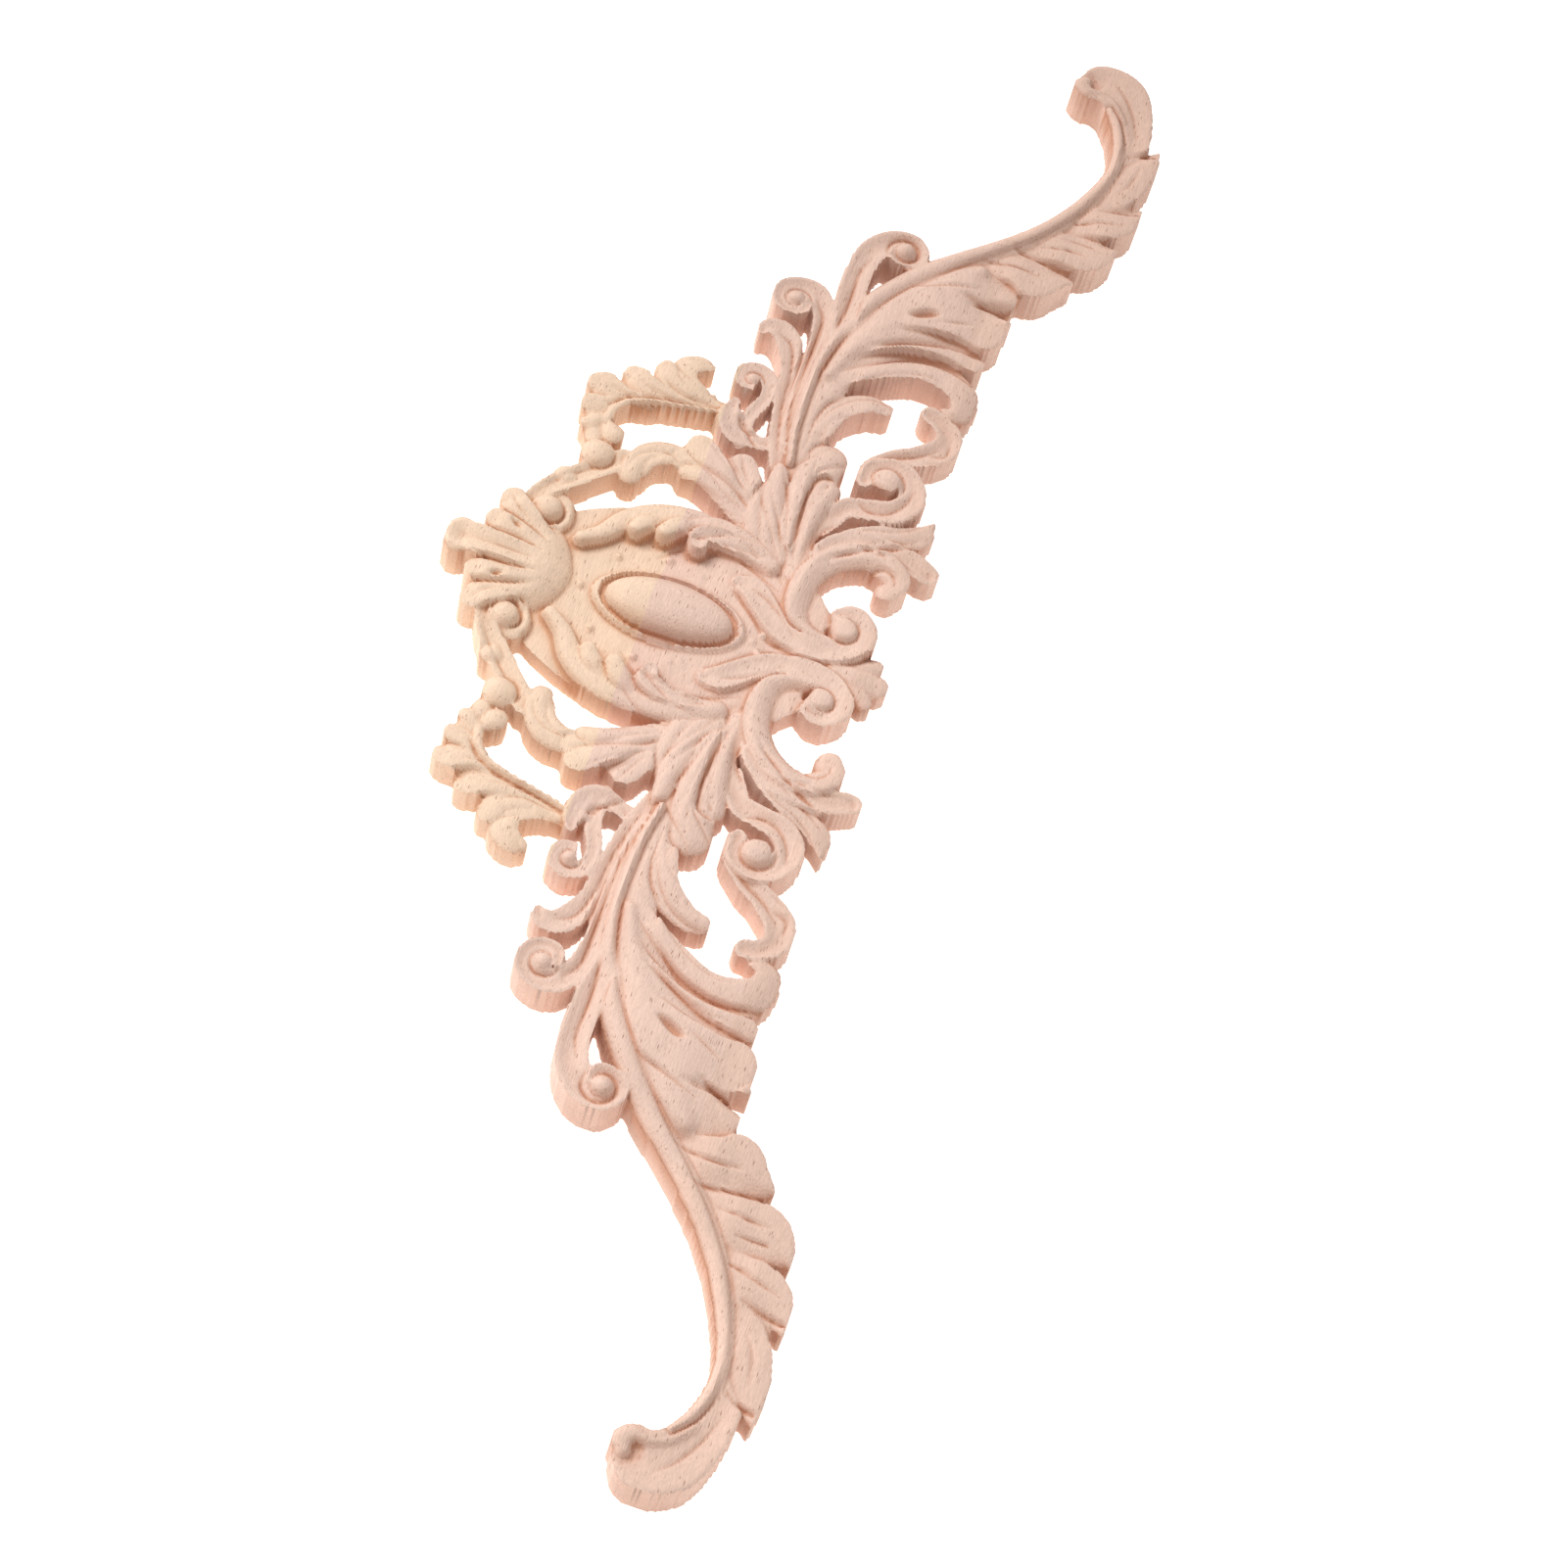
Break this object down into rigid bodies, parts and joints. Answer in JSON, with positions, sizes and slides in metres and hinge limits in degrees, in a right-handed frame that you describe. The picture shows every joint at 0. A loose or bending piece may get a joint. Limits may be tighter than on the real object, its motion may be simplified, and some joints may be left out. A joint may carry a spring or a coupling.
{
  "type": "wood applique",
  "caption": "Pierced carved wooden applique with a flat back: an oval boss on a leafy shield under a fan, scrolls beside it and a long leafy arm sweeping out and down to either side",
  "frame": {"origin": "on the flat back, under the middle of the oval boss", "axes": "X along the length, +Y towards the fan at the top as hung, +Z out of the back through the carved face"},
  "size_m": [0.5, 0.1578, 0.0146],
  "materials": {
    "wood": "bare, sanded, unfinished"
  },
  "bodies": {
    "root": {"applique": "wood"}
  },
  "joints": []
}
